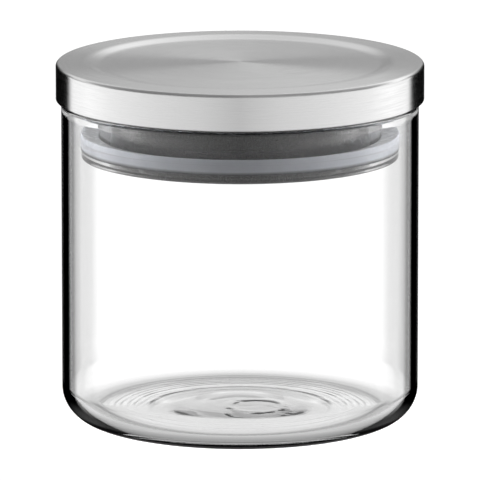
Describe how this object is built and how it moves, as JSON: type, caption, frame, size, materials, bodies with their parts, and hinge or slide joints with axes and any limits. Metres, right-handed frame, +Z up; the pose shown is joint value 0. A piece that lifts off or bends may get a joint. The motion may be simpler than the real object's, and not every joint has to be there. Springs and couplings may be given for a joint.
{
  "type": "lidded glass canister",
  "caption": "Round straight-sided clear glass storage canister with a lift-off stopper lid: brushed steel cap over a clear plastic sleeve with a translucent silicone seal.",
  "frame": {"origin": "middle of the base, on the surface that the jar stands on", "axes": "+Z up the axis of the jar, which is round, so X and Y are free; -Y faces the picture's camera"},
  "size_m": [0.105, 0.105, 0.1037],
  "materials": {
    "clear_glass": "clear, fire polished",
    "brushed_steel": "brushed round the axis",
    "clear_plastic": "clear, moulded gloss",
    "dark_plastic": "dark, moulded gloss",
    "silicone": "translucent, soft sheen"
  },
  "bodies": {
    "jar": {"glass_jar": "clear_glass"},
    "lid": {"steel_cap": "brushed_steel", "clear_sleeve": "clear_plastic", "core_cup": "dark_plastic", "seal_ring": "silicone"}
  },
  "joints": [
    {"name": "lid_lift", "type": "slide", "parent": "jar", "child": "lid", "axis": [0, 0, 1], "range_m": [0, 0.03]}
  ]
}
